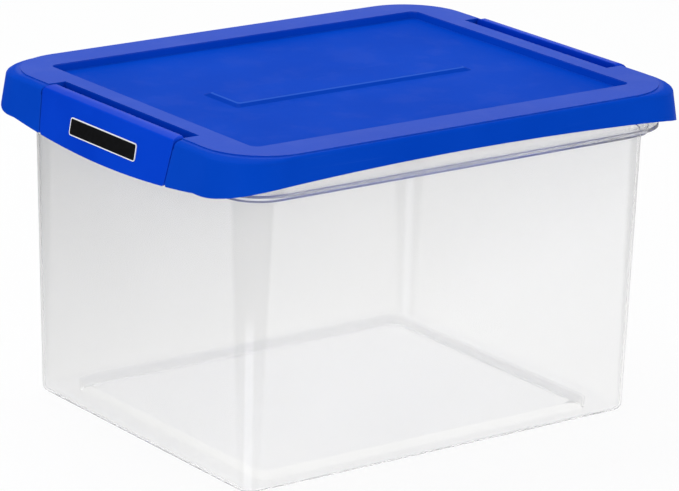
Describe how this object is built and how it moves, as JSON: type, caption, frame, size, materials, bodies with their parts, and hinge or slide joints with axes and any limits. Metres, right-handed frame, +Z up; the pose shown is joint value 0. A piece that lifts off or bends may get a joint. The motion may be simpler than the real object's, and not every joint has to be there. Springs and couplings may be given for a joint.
{
  "type": "portable file box",
  "caption": "Clear drafted plastic tub with moulded hanging-folder rails under a lift-off blue lid with a recessed top and hinged latch flaps at both ends.",
  "frame": {"origin": "centre of the tub's underside, on the surface it stands on", "axes": "+Z up, +X along the length away from the labelled latch flap, +Y along the width"},
  "size_m": [0.4474, 0.3562, 0.27],
  "materials": {
    "clear_polypropylene": "clear, slightly milky, smooth moulded",
    "blue_lid_plastic": "satin, finely grained",
    "blue_flap_plastic": "satin",
    "black_label": "gloss print film"
  },
  "bodies": {
    "tub": {"tub": "clear_polypropylene"},
    "lid": {"lid": "blue_lid_plastic"},
    "left_latch": {"latch_flap_left": "blue_flap_plastic", "label_plate": "black_label"},
    "right_latch": {"latch_flap_right": "blue_flap_plastic"}
  },
  "joints": [
    {"name": "lid_lift", "type": "slide", "parent": "tub", "child": "lid", "axis": [0, 0, 1], "range_m": [0, 0.32]},
    {"name": "left_latch_hinge", "type": "hinge", "parent": "lid", "child": "left_latch", "pos_m": [-0.2074, 0, 0.2618], "axis": [0, 1, 0], "range_deg": [0, 90]},
    {"name": "right_latch_hinge", "type": "hinge", "parent": "lid", "child": "right_latch", "pos_m": [0.2074, 0, 0.2618], "axis": [0, -1, 0], "range_deg": [0, 90]}
  ]
}
